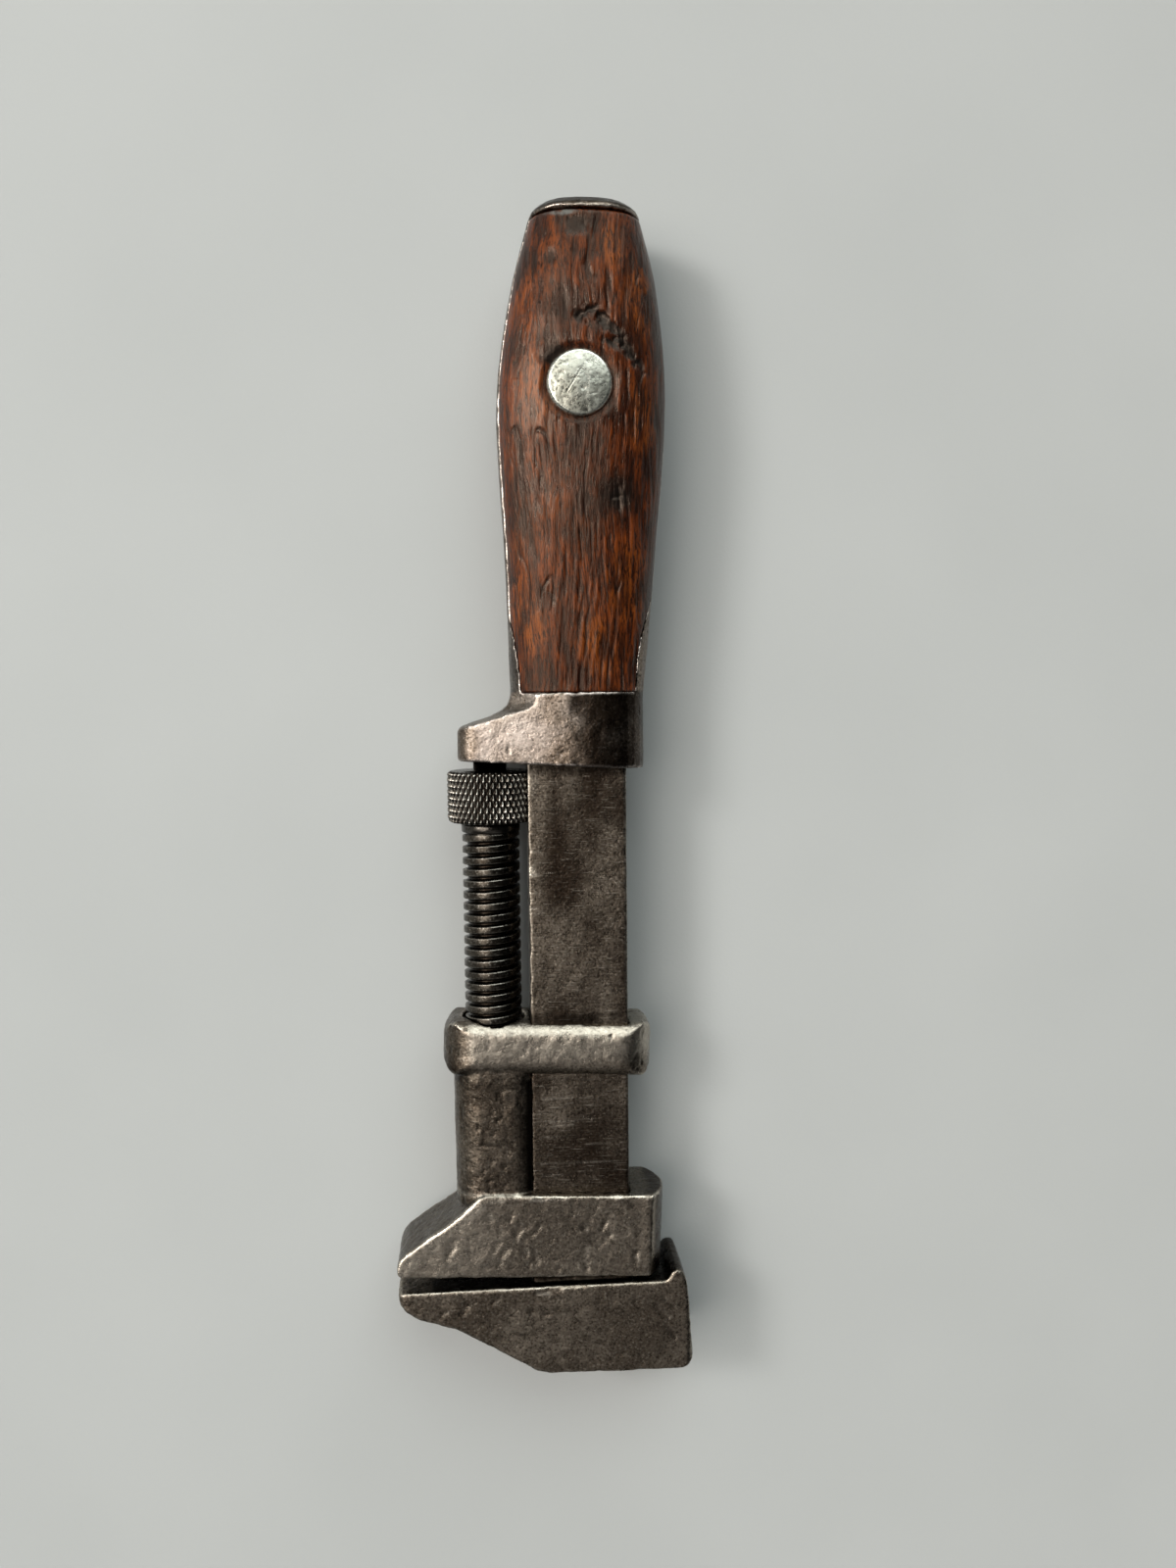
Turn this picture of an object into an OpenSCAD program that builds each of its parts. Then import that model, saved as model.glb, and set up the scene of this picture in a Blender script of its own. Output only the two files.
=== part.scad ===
// Screw-adjusted wrench with a forged bar, a sliding jaw and a wood-faced handle.
// It lies flat: X runs across the handle (the jaws point to -X), Y runs along it
// (the butt is at +Y) and Z is up. All lengths are in millimetres.
// Shapes are drawn about the bar: x = 0 near the bar's centre line, y = 0 at the foot
// of the bolster, z = 0 at mid thickness. place() then moves them to the part's origin,
// below the centre of its outline.

/* [Bar and head] */
// Width of the bar
bar_w = 17; // [16:0.1:17.4]
// Thickness of the bar
bar_t = 9.5; // [8:0.1:10.5]
// Thickness of both jaws
jaw_t = 13.2; // [12:0.1:14]
// Distance from the bolster to the fixed gripping face
face_y = 90.8; // [90.2:0.1:93]

/* [Sliding jaw] */
// Lean of the worn sliding jaw, degrees
jaw_lean = 2.25; // [1.6:0.05:2.6]
// Clearance between the bar and its slot, each side
slot_gap = 0.06; // [0.02:0.01:0.1]
// Length of the collar along the bar
collar_h = 9.6; // [8:0.1:10]

/* [Adjusting screw] */
// Outer radius of the thread
thread_r = 5.0; // [4.8:0.05:5.1]
// Root radius of the thread
root_r = 4.15; // [3.9:0.05:4.3]
// Pitch of the left-hand thread
pitch = 2.0; // [1.8:0.1:2.2]
// Radial clearance of the thread in its nut
thread_gap = 0.15; // [0.1:0.01:0.2]
// Radius of the knurled rosette
rosette_r = 7.45; // [6.8:0.05:7.6]
// Number of teeth round the rosette
rosette_teeth = 40; // [24:2:48]
// Radius of the journal that turns in the bolster
journal_r = 2.9; // [2.5:0.05:3]
// Radial clearance of the journal
journal_gap = 0.05; // [0.01:0.01:0.1]

/* [Handle] */
// Half thickness of the steel core between the wooden scales
core_half = 2.6; // [2.55:0.05:4]
// Radius of the rivet's heads
rivet_head_r = 5.4; // [4.5:0.1:6]
// Radius of the rivet's shank
rivet_r = 3.0; // [2:0.1:3.2]
// Roundness of the handle's section: 2 is an ellipse
section_power = 2.6; // [2:0.1:4]

/* [Hidden] */
$fn = 64;
eps = 0.01;
fit = 0.03;

// Extents of the whole wrench, in the drawing frame
tip_x = -32.8;
head_x = 19.4;
head_y = -107.2;
butt_y = 94.9;
rivet_z = 10.9;

bar_x = -0.3;
jaw_pivot = [-9, -82];
jaw_foot = -89;
jaw_top = -74.3;
jaw_side = 14.4;
collar_x = [-24.1, 12.4];
collar_y = -48.9;
boss_x = [-22.3, -7.4];
boss_t = 12;

bar_socket = 3; // depth of the bar's seat in the bolster

screw_x = -15.2;
rosette_gap = 0.15;
screw_end = -54.5;
neck_y = -11;
rosette_y = [-9.1, -0.3];
journal_top = 6.8;
nut_y = [-58.5, -45.7];
screw_bore_end = -86.9;
pin_y = 4.2;
pin_r = 0.8;
pin_tip = 2.15;
pin_end = 7.2;

bolster_top = 13.2;
step_x = -20.6;
step_half = 6.9;
step_round = 3.4;
step_waist = 4.2;
// Outlines of the bolster and its step, at mid thickness and where the front face begins
bolster_outer = [[0, 0.6], [step_x, 1.7], [step_x, 6.6], [-20.2, 7.3], [-18.4, 8], [-15, 9.1],
                 [-13, 10.1], [-12, 11], [-11.5, 12.4], [-11.5, 14], [13, 14], [13, -0.1]];
bolster_front = [[0, 0.6], [step_x, 1.7], [step_x, 6.2], [-20.1, 6.8], [-18.4, 7.4], [-15.9, 8],
                 [-11.8, 9.3], [-7.6, 10.4], [-6.4, 11.3], [-6.1, 14], [13, 14], [13, -0.1]];

rim_y = 91.4;
core_start = 12.6;
ear_reach = [28.5, 30.5];
tang_t = 5;
tang_end_r = 3;
tang_x = 2.2;
// Tang outline: [distance along the handle, left edge, right edge]
tang = [[2, -6, 5], [60, -5, 6], [rim_y + 0.5, -2.2, 6.5]];
rivet_pos = [0.4, 63.25];
rivet_sink = 9.7;

// Handle outline: [distance along the handle, value]
half_width = [[12, 11.5], [35, 12.9], [62, 14.4], [80, 12.4], [91.4, 9.5]];
centre_line = [[12, 0.05], [35, 0.8], [62, 1.25], [80, 1.8], [91.4, 2.0]];
half_depth = [[12, 8.8], [35, 9.6], [62, 10.3], [80, 9.8], [91.4, 8.7]];

steel = "dimgray";
wood = "saddlebrown";

// ---- helpers ----

module place()
    translate([-(tip_x + head_x) / 2, -(head_y + butt_y) / 2, rivet_z]) children();

// A flat outline given the stated thickness, centred on z = 0
module slab(t) linear_extrude(t, center = true) children();

// A section in the X-Z plane swept from y0 up to y1
module along_y(y0, y1)
    translate([0, y1, 0]) rotate([90, 0, 0]) linear_extrude(y1 - y0) children();

// A section in the Y-Z plane swept from x0 to x1
module along_x(x0, x1)
    translate([x0, 0, 0]) rotate([90, 0, 90]) linear_extrude(x1 - x0) children();

// Revolved pieces about the screw's axis: local +Z becomes +Y
module on_screw_axis(y) translate([screw_x, y, 0]) rotate([-90, 0, 0]) children();

module rod_y(x, y0, y1, r) translate([x, y0, 0]) rotate([-90, 0, 0]) cylinder(y1 - y0, r = r);

// Rectangle from x0 to x1 with round corners
module soft_rect(x0, x1, h, r) {
    translate([x0, -h / 2 + r]) square([x1 - x0, h - 2 * r]);
    translate([x0 + r, -h / 2]) square([x1 - x0 - 2 * r, h]);
    for (x = [x0 + r, x1 - r], z = [r - h / 2, h / 2 - r]) translate([x, z]) circle(r);
}

// Smooth curve through the stated [distance, value] knots
function slope(k, i) = let (a = max(i - 1, 0), b = min(i + 1, len(k) - 1))
    (k[b][1] - k[a][1]) / (k[b][0] - k[a][0]);
function segment(k, y, i = 0) = i >= len(k) - 2 || y <= k[i + 1][0] ? i : segment(k, y, i + 1);
function curve(k, y) = let (i = segment(k, y), w = k[i + 1][0] - k[i][0], t = (y - k[i][0]) / w)
    (2 * t ^ 3 - 3 * t ^ 2 + 1) * k[i][1] + (t ^ 3 - 2 * t ^ 2 + t) * w * slope(k, i)
    + (3 * t ^ 2 - 2 * t ^ 3) * k[i + 1][1] + (t ^ 3 - t ^ 2) * w * slope(k, i + 1);

// Solid through rings of points, all with the same count, closed at both ends
module loft(rings) {
    n = len(rings[0]);
    last = len(rings) - 1;
    polyhedron(
        points = [for (ring = rings, p = ring) p],
        faces = concat(
            [[for (i = [n - 1 : -1 : 0]) i]],
            [for (s = [0 : last - 1], i = [0 : n - 1]) let (j = (i + 1) % n)
                [s * n + i, s * n + j, (s + 1) * n + j, (s + 1) * n + i]],
            [[for (i = [0 : n - 1]) last * n + i]]));
}

// ---- bar, head and tang ----

module head_outline()
    polygon([[tip_x, -face_y], [tip_x + 0.4, -93], [-31.2, -94.3], [-29, -95.8], [-26, -96.8],
             [-22.5, -98], [-16.8, -101.2], [-10.6, -104.8], [-8.6, -106.1], [-6.5, -106.7],
             [0, -106.9], [16.8, head_y], [18.3, -106.8], [19.2, -105.8], [head_x, -104],
             [18.9, -99.8], [18.5, -94.5], [18.1, -90.9], [17.4, -89.2], [16.4, -88.9],
             [15.5, -89.3], [14.9, -90.4], [14.5, -face_y]]);

module tang_outline(gap) polygon(concat(
    [for (k = tang) [k[1] - gap, k[0]]],
    [for (i = [len(tang) - 1 : -1 : 0]) [tang[i][2] + gap, tang[i][0]]]));

module bar_and_fixed_jaw() color(steel) place() difference() {
    union() {
        intersection() {
            slab(jaw_t) head_outline();
            along_y(head_y - 1, 0) soft_rect(tip_x, head_x, jaw_t, 1.6);
        }
        translate([bar_x - bar_w / 2, -face_y - 4, -bar_t / 2])
            cube([bar_w, face_y + 4 + bar_socket, bar_t]);
        slab(tang_t) tang_outline(0);
        rod_y(tang_x, rim_y, butt_y, tang_end_r);
    }
    // relief in the bar's edge, beside the rosette
    rod_y(screw_x, rosette_y[0] - 0.4, rosette_y[1] + 0.4, rosette_r + rosette_gap);
    translate([rivet_pos[0], rivet_pos[1], -bar_t]) cylinder(2 * bar_t, r = rivet_r + fit);
}

// ---- sliding jaw ----

module leaned() translate(jaw_pivot) rotate([0, 0, -jaw_lean]) translate(-jaw_pivot) children();

module jaw_outline()
    polygon([[jaw_side, jaw_foot], [jaw_side, jaw_top], [-17.2, jaw_top], [-18.7, jaw_top - 0.5],
             [-20, -76.1], [-23.3, -79.2], [-26.7, -81.5], [-31, -84.7], [-32.1, -86],
             [-32.5, -87.2], [-32.4, -88.5], [-31.8, jaw_foot]]);

// Section of the jaw: flat front and back, one rounded side that wraps the bar
module jaw_section() intersection() {
    translate([tip_x, -jaw_t / 2]) square([jaw_side - tip_x, jaw_t]);
    union() {
        translate([tip_x, -jaw_t / 2]) square([5 - tip_x, jaw_t]);
        translate([jaw_side - 9.7, 0]) circle(9.7);
    }
}

// The nut's thread; both its ends lie inside the wider bores above and below it
module nut_thread() on_screw_axis(nut_y[0] - 2 * pitch)
    thread(nut_y[1] - nut_y[0] + 2.5 * pitch, thread_gap, nut_y[0] - 2 * pitch);

module sliding_jaw() color(steel) place() difference() {
    union() {
        leaned() intersection() {
            slab(jaw_t) jaw_outline();
            along_y(jaw_foot, jaw_top) jaw_section();
        }
        translate([0, collar_y, 0]) rotate([0, 0, -jaw_lean]) intersection() {
            along_y(-collar_h / 2, collar_h / 2)
                soft_rect(collar_x[0], collar_x[1], jaw_t, jaw_t / 2 - 0.6);
            slab(jaw_t) {
                soft_rect(collar_x[0], 0, collar_h, 3.3);
                soft_rect(-10, collar_x[1], collar_h, 2.2);
            }
            along_x(collar_x[0], collar_x[1]) soft_rect(-collar_h / 2, collar_h / 2, jaw_t, 3);
        }
        along_y(jaw_top - 2, collar_y) soft_rect(boss_x[0], boss_x[1], boss_t, 5);
    }
    translate([bar_x, -70, 0]) cube([bar_w + 2 * slot_gap, 60, bar_t + 2 * slot_gap], center = true);
    rod_y(screw_x, nut_y[1], -40, thread_r + 0.5);
    rod_y(screw_x, screw_bore_end, nut_y[0], thread_r + thread_gap + 0.15);
    nut_thread();
}

// ---- adjusting screw ----

// Helical body about +Z: one closed surface whose rows follow the left-hand helix.
// Its turns are counted from the drawing's y = 0, so that nut and screw mesh.
module thread(length, gap, start) {
    steps = 32;
    form = [[0, root_r], [0.2, thread_r - 0.15], [0.5, thread_r], [0.8, thread_r - 0.15]];
    rows = len(form);
    turns = ceil(length / pitch) + 1;
    first = ceil(start / pitch) * pitch - start;
    last = rows * (turns - 1);
    at = function (row, i) row * steps + i;
    points = concat(
        [for (row = [0 : last], i = [0 : steps - 1])
            let (f = form[row % rows], r = f[1] + gap, a = -360 * i / steps)
            [r * cos(a), r * sin(a), first + pitch * (floor(row / rows) + f[0] + i / steps)]],
        [[0, 0, first], [0, 0, first + pitch * turns]]);
    foot = len(points) - 2;
    head = len(points) - 1;
    sides = concat(
        // side faces within one turn
        [for (row = [0 : last - 1], i = [0 : steps - 2])
            [at(row, i), at(row, i + 1), at(row + 1, i + 1), at(row + 1, i)]],
        // side faces across the seam, where a turn meets the next one
        [for (row = [0 : last - rows - 1])
            [at(row, steps - 1), at(row + rows, 0), at(row + rows + 1, 0), at(row + 1, steps - 1)]],
        // ends: fans about the axis
        [for (i = [0 : steps - 2]) [foot, at(0, i + 1), at(0, i)]],
        [[foot, at(rows, 0), at(0, steps - 1)]],
        [for (row = [0 : rows - 1]) [foot, at(row, 0), at(row + 1, 0)]],
        [for (i = [0 : steps - 2]) [head, at(last, i), at(last, i + 1)]],
        [[head, at(last - rows, steps - 1), at(last, 0)]],
        [for (row = [last - rows : last - 1]) [head, at(row + 1, steps - 1), at(row, steps - 1)]]);
    polyhedron(points = points, faces = sides);
}

module rosette() difference() {
    h = rosette_y[1] - rosette_y[0];
    union() {
        cylinder(0.6, r1 = rosette_r - 0.6, r2 = rosette_r);
        translate([0, 0, 0.6]) cylinder(h - 1.2, r = rosette_r);
        translate([0, 0, h - 0.6]) cylinder(0.6, r1 = rosette_r, r2 = rosette_r - 0.6);
    }
    for (i = [0 : rosette_teeth - 1]) rotate([0, 0, 360 * i / rosette_teeth])
        translate([rosette_r - 0.35, 0, -eps]) rotate([0, 0, -45]) cube([1, 1, h + 1]);
}

module adjusting_screw() color(steel) place() {
    on_screw_axis(rosette_y[0]) rosette();
    difference() {
        union() {
            rod_y(screw_x, neck_y, rosette_y[0] + eps, thread_r + 0.15);
            rod_y(screw_x, rosette_y[1] - eps, journal_top, journal_r);
            on_screw_axis(screw_end - 2 * pitch)
                thread(neck_y - screw_end + 1.5 * pitch, 0, screw_end - 2 * pitch);
        }
        rod_y(screw_x, screw_end - 5 * pitch, screw_end, 2 * thread_r);
        // groove that the retaining pin runs in
        on_screw_axis(pin_y - pin_r - 0.1) difference() {
            cylinder(2 * pin_r + 0.2, r = journal_r + 1);
            translate([0, 0, -1]) cylinder(2 * pin_r + 3, r = pin_tip - 0.1);
        }
    }
}

module journal_pin() color("silver") place()
    translate([screw_x, pin_y, -pin_end]) cylinder(pin_end - pin_tip, r = pin_r);

// ---- handle ----

function bulge(v) = sign(v) * abs(v) ^ (2 / section_power);
function handle_ring(y, scale = 1, lift = 0) = [for (i = [0 : 31]) let (a = 360 * (i + 0.5) / 32)
    [curve(centre_line, y) + scale * curve(half_width, y) * bulge(cos(a)), y + lift,
     scale * curve(half_depth, y) * bulge(sin(a))]];

// Outer form shared by the frame and the scales, with the domed butt
module handle_form() loft(concat(
    [for (y = [core_start : (rim_y - core_start) / 16 : rim_y + eps]) handle_ring(min(y, rim_y))],
    [for (a = [15, 35, 55, 70, 80]) handle_ring(rim_y, cos(a), (butt_y - rim_y) * sin(a) / sin(80))]));

// Ears of the bolster that run up both sides of the wood
module ears(gap) slab(30) {
    polygon([[-9.7 + gap, 0], [-9.7 + gap, 13.4], [-10 + gap, 17.5], [-10.9 + gap, 23.2],
             [-12.1, ear_reach[0]], [-20, ear_reach[0]], [-20, 0]]);
    polygon([[9.7 - gap, 0], [20, 0], [20, ear_reach[1]], [13.2, ear_reach[1]],
             [10.6 - gap, 22.3], [9.8 - gap, 17.8], [9.7 - gap, 13.4]]);
}

// One oval section runs from the step's end across the bolster, like the handle's own
module bolster_section() hull() {
    polygon([for (p = handle_ring(core_start)) [p[0], p[2]]]);
    for (side = [-1, 1])
        translate([step_x + step_round, side * (step_half - step_round)]) circle(step_round);
}

module bolster() intersection() {
    loft([for (level = [[-9, bolster_front], [-step_waist, bolster_outer],
                        [step_waist, bolster_outer], [9, bolster_front]])
        [for (p = level[1]) [p[0], p[1], level[0]]]]);
    along_y(-1, bolster_top) bolster_section();
}

module handle_frame() color(steel) place() difference() {
    union() {
        bolster();
        intersection() {
            handle_form();
            union() {
                translate([0, 60, 0]) cube([60, 100, 2 * core_half], center = true);
                translate([-30, rim_y, -15]) cube([60, 20, 30]);
                ears(0);
            }
        }
    }
    translate([bar_x - bar_w / 2 - fit, -2, -bar_t / 2 - fit])
        cube([bar_w + 2 * fit, 2 + bar_socket + fit, bar_t + 2 * fit]);
    translate([0, fit, 0]) slab(tang_t + 2 * fit) tang_outline(fit);
    rod_y(tang_x, rim_y, butt_y + 1, tang_end_r + fit);
    translate([rivet_pos[0], rivet_pos[1], -rivet_z]) cylinder(2 * rivet_z, r = rivet_r + fit);
    rod_y(screw_x, 0, journal_top + 0.1, journal_r + journal_gap);
    translate([screw_x, pin_y, -2 * pin_end]) cylinder(2 * pin_end, r = pin_r + fit);
}

// Wooden scale on the front; the back one is its mirror image
module scale_blank() difference() {
    intersection() {
        handle_form();
        translate([-30, bolster_top + fit, core_half + fit])
            cube([60, rim_y - bolster_top - 2 * fit, 30]);
    }
    ears(fit);
    translate([rivet_pos[0], rivet_pos[1], 0]) cylinder(40, r = rivet_r + fit);
    translate([rivet_pos[0], rivet_pos[1], rivet_sink]) cylinder(40, r = rivet_head_r + fit);
}

module front_scale() color(wood) place() scale_blank();
module back_scale() color(wood) place() mirror([0, 0, 1]) scale_blank();

// Through rivet with a broad, slightly domed head on each side
module handle_rivet() color("silver") place() translate([rivet_pos[0], rivet_pos[1], 0]) {
    cylinder(2 * rivet_sink + 1, r = rivet_r, center = true);
    for (side = [0, 1]) mirror([0, 0, side]) translate([0, 0, rivet_sink + fit]) {
        cylinder(rivet_z - rivet_sink - fit - 0.5, r = rivet_head_r);
        translate([0, 0, rivet_z - rivet_sink - fit - 0.5])
            cylinder(0.5, r1 = rivet_head_r, r2 = rivet_head_r - 0.9);
    }
}

bar_and_fixed_jaw();
sliding_jaw();
adjusting_screw();
journal_pin();
handle_frame();
front_scale();
back_scale();
handle_rivet();
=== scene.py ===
import math

import bmesh
import bpy
import numpy as np
from mathutils import Matrix, Vector


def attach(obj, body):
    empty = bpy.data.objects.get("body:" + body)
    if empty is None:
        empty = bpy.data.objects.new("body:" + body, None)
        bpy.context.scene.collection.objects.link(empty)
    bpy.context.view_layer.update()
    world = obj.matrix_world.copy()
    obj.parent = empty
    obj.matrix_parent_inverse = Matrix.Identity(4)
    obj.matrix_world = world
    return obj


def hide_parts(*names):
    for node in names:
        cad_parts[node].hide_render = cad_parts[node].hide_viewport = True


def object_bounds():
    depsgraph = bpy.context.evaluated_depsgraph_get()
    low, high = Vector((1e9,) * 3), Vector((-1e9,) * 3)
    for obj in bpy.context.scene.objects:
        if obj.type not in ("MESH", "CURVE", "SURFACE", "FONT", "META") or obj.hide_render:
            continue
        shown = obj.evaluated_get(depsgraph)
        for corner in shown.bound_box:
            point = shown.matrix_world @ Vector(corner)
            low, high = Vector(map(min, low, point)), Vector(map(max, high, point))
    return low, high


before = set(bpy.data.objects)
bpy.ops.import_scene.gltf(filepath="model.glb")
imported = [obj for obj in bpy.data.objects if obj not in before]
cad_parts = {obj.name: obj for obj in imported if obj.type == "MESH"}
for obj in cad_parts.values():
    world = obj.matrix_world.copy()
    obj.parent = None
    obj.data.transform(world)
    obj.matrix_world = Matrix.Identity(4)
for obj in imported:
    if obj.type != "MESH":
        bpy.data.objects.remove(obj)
cad_low, cad_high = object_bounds()

# Lengths below are in millimetres in the drawing frame of the CAD part: x = 0 near the
# bar's centre line, y = 0 at the foot of the bolster, z = 0 at mid thickness. The butt is
# at +y, the jaws are at -y and point to -x, and the front is at +z.
MM = 0.001
ORIGIN = np.array([6.7, 6.15, 10.9])

# Bar and jaws: the fixed gripping face, the top of the sliding jaw, the front of both jaws
# and the ends of the collar
MOUTH_Y = -90.8
JAW_TOP = -74.3
JAW_FACE = 6.6
COLLAR_FOOT = -53.7
COLLAR_TOP = -44.1

# Adjusting screw
SCREW_X = -15.2
THREAD_R = 5.0
ROOT_R = 4.1
PITCH = 2.0
SCREW_END = -54.5
SCREW_BORE = (-86.9, -40.0)
SCREW_BORE_R = 5.3
NECK = (-11.0, -9.1)
ROSETTE = (-9.1, -0.3)
ROSETTE_R = 7.45
KNURL_TEETH = 42
KNURL_LENGTH = 2.1
KNURL_DEPTH = 0.5
JOURNAL_R = 2.9
JOURNAL_TOP = 6.8

# Handle
BOLSTER_TOP = 13.2
RIM_Y = 91.4
WOOD = (13.22, 91.0)
CORE = 2.63
RIVET = (0.4, 63.25)
RIVET_R = 5.4
RIVET_SHANK_R = 3.0
RIVET_TOP = 10.9
SECTION_POWER = 2.6
# Curves along the handle: (y, value)
HALF_WIDTH = ((12, 11.5), (35, 12.9), (62, 14.4), (80, 12.4), (91.4, 9.5))
CENTRE_LINE = ((12, 0.05), (35, 0.8), (62, 1.25), (80, 1.8), (91.4, 2.0))
HALF_DEPTH = ((12, 8.8), (35, 9.6), (62, 10.3), (80, 9.8), (91.4, 8.7))
# Inner edges of the bolster's ears; past their ends the wood is free
LEFT_EAR = ((13.4, -9.7), (17.5, -10.0), (23.2, -10.9), (28.5, -12.1), (29.5, -30))
RIGHT_EAR = ((13.4, 9.7), (17.8, 9.8), (22.3, 10.6), (30.5, 13.2), (31.5, 30))

# Rows along and columns across the outer face of a wooden scale
SCALE_ROWS, SCALE_COLUMNS = 330, 200


# ---------------------------------------------------------------- numbers

GRID = 48  # cells of a random field before it repeats
FAR = 500.37  # shifts the field's own grid away from the drawing's axes


def smoothstep(low, high, value):
    t = np.clip((value - low) / (high - low), 0.0, 1.0)
    return t * t * (3 - 2 * t)


def band(value, low, high, soft):
    """1 from low to high, fading over soft on both sides."""
    return smoothstep(low - soft, low, value) * smoothstep(high + soft, high, value)


def lattice(points, scale, seed):
    """Smooth random field, -1 to 1, with features about `scale` mm across (one number or one per axis)."""
    grid = np.random.RandomState(seed).uniform(-1, 1, (GRID, GRID, GRID))
    q = points / np.asarray(scale, float) + FAR
    cell = np.floor(q).astype(int)
    f = q - cell
    f = f * f * (3 - 2 * f)
    total = np.zeros(len(points))
    for corner in range(8):
        pick = np.array([corner & 1, corner >> 1 & 1, corner >> 2 & 1])
        weight = np.prod(np.where(pick, f, 1 - f), axis=1)
        i, j, k = ((cell + pick) % GRID).T
        total += weight * grid[i, j, k]
    return total


def layered(points, scale, seed, octaves=3):
    """Sum of lattice fields, each half the size and strength of the one before."""
    scale = np.asarray(scale, float)
    return sum(lattice(points, scale / 2 ** n, seed + n) / 2 ** n for n in range(octaves))


def curve(knots, y):
    """Smooth curve through (distance, value) knots, as the CAD part has it."""
    k = np.array(knots, float)
    last = len(k) - 1
    i = np.clip(np.searchsorted(k[1:-1, 0], y, side="left"), 0, last - 1)

    def slope(n):
        a, b = np.maximum(n - 1, 0), np.minimum(n + 1, last)
        return (k[b, 1] - k[a, 1]) / (k[b, 0] - k[a, 0])

    w = k[i + 1, 0] - k[i, 0]
    t = (y - k[i, 0]) / w
    return ((2 * t**3 - 3 * t**2 + 1) * k[i, 1] + (t**3 - 2 * t**2 + t) * w * slope(i)
            + (3 * t**2 - 2 * t**3) * k[i + 1, 1] + (t**3 - t**2) * w * slope(i + 1))


def straight(knots, y):
    """Straight stretches between (distance, value) knots."""
    distances, values = zip(*knots)
    return np.interp(y, distances, values)


def along(p, start, end):
    """Offset of each flat point p from the nearest place on the line from start to end."""
    start, way = np.asarray(start, float), np.subtract(end, start)
    t = np.clip((p - start) @ way / (way @ way), 0, 1)
    return p - start - t[:, None] * way


# ---------------------------------------------------------------- meshes

def link(obj):
    bpy.context.scene.collection.objects.link(obj)
    return obj


def build(name, points, faces):
    """Object from points in drawing millimetres."""
    mesh = bpy.data.meshes.new(name)
    mesh.from_pydata(((points + ORIGIN) * MM).tolist(), [], faces)
    mesh.validate()
    return link(bpy.data.objects.new(name, mesh))


def quads(*corners):
    """Face list from four equal grids of vertex numbers."""
    return np.stack([corner.ravel() for corner in corners], 1).tolist()


def points_of(mesh):
    co = np.empty(len(mesh.vertices) * 3)
    mesh.vertices.foreach_get("co", co)
    return co.reshape(-1, 3) / MM - ORIGIN


def normals_of(mesh):
    no = np.empty(len(mesh.vertices) * 3)
    mesh.vertices.foreach_get("normal", no)
    return no.reshape(-1, 3)


def edges_of(mesh):
    """Vertex numbers at the two ends of every edge."""
    edges = np.empty(len(mesh.edges) * 2, dtype=np.int32)
    mesh.edges.foreach_get("vertices", edges)
    return edges.reshape(-1, 2).T


def set_points(mesh, points):
    """Moves the vertices to points, kept inside the CAD part's box."""
    inside = np.clip((points + ORIGIN) * MM, cad_low, cad_high)
    mesh.vertices.foreach_set("co", inside.ravel())
    mesh.update()


def edit(mesh, change):
    """Runs change(bm) on the mesh."""
    bm = bmesh.new()
    bm.from_mesh(mesh)
    change(bm)
    bm.to_mesh(mesh)
    bm.free()


def face_outward(bm):
    bmesh.ops.recalc_face_normals(bm, faces=bm.faces)


def weld(bm):
    bmesh.ops.remove_doubles(bm, verts=bm.verts, dist=1e-6)


def shade_smooth(mesh):
    for polygon in mesh.polygons:
        polygon.use_smooth = True


def bake(obj):
    """Applies obj's modifiers."""
    graph = bpy.context.evaluated_depsgraph_get()
    mesh = bpy.data.meshes.new_from_object(obj.evaluated_get(graph))
    obj.modifiers.clear()
    obj.data = mesh


def forged_copy(node, name):
    """Welded copy of a CAD node's mesh as a new object."""
    obj = link(bpy.data.objects.new(name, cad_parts[node].data.copy()))
    edit(obj.data, weld)
    obj.data.materials.clear()
    return obj


def remesh(obj, voxel, rounds):
    """Rebuilds obj from even small faces, `voxel` mm across, and wears its edges round."""
    step = obj.modifiers.new("voxels", "REMESH")
    step.mode = "VOXEL"
    step.voxel_size = voxel * MM
    soften = obj.modifiers.new("soften", "SMOOTH")
    soften.factor = 0.5
    soften.iterations = rounds
    bake(obj)


def cut(obj, cutter):
    """Takes the shape of cutter out of obj and deletes cutter."""
    step = obj.modifiers.new("cut", "BOOLEAN")
    step.operation = "DIFFERENCE"
    step.object = cutter
    step.solver = "EXACT"
    bake(obj)
    bpy.data.objects.remove(cutter)


def closed_tube(name, rings, ends):
    """Surface through rings of points, shape (rows, steps, 3), closed by the two end points."""
    rows, steps = rings.shape[:2]
    index = np.arange(rows * steps).reshape(rows, steps)
    after = np.roll(index, -1, axis=1)
    faces = quads(index[:-1], after[:-1], after[1:], index[1:])
    foot, head = rows * steps, rows * steps + 1
    faces += [(foot, b, a) for a, b in zip(index[0].tolist(), after[0].tolist())]
    faces += [(head, a, b) for a, b in zip(index[-1].tolist(), after[-1].tolist())]
    obj = build(name, np.concatenate([rings.reshape(-1, 3), ends]), faces)
    edit(obj.data, face_outward)
    return obj


def lathe(name, rings, steps):
    """Closed surface about the screw's axis. rings: (y, radius at each step round the axis)."""
    angle = np.arange(steps) * 2 * math.pi / steps
    points = [np.stack([SCREW_X + r * np.cos(angle), np.full(steps, y), r * np.sin(angle)], 1)
              for y, r in rings]
    return closed_tube(name, np.array(points), [[SCREW_X, rings[0][0], 0], [SCREW_X, rings[-1][0], 0]])


def paint(mesh, name, values):
    """Stores a value, 0 to 1, at each vertex for the materials to read."""
    layer = mesh.attributes.new(name, "FLOAT", "POINT")
    layer.data.foreach_set("value", np.clip(values, 0, 1).astype(np.float32))


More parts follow.
